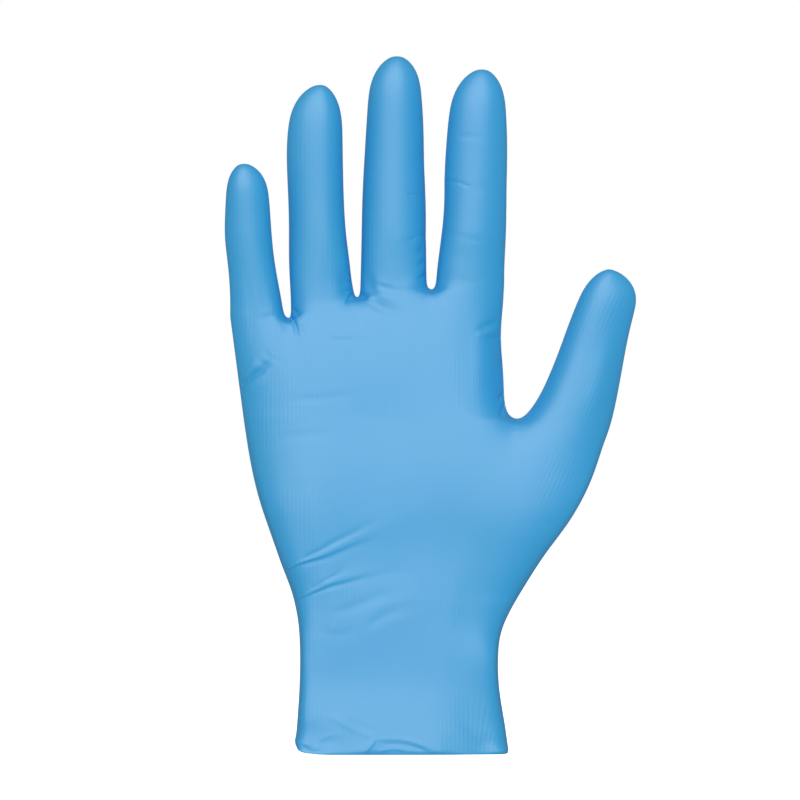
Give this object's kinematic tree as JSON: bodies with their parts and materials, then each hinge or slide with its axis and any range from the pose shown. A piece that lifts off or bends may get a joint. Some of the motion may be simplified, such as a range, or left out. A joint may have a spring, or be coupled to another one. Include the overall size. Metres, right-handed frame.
{
  "type": "nitrile exam glove",
  "caption": "Thin dipped exam glove for a right hand, held in its worn form with fingers up, palm smooth, thumb to the side, an open cuff and a rolled hem.",
  "frame": {"origin": "middle of the cuff's open end, where the glove sits on the wrist", "axes": "+Z from the cuff to the fingertips, palm faces -Y, thumb towards +X"},
  "size_m": [0.1417, 0.0515, 0.2403],
  "materials": {
    "nitrile_film": "dipped nitrile, light blue, satin"
  },
  "bodies": {
    "root": {"hand_film": "nitrile_film", "thumb_film": "nitrile_film", "little_finger_film": "nitrile_film"}
  },
  "joints": []
}
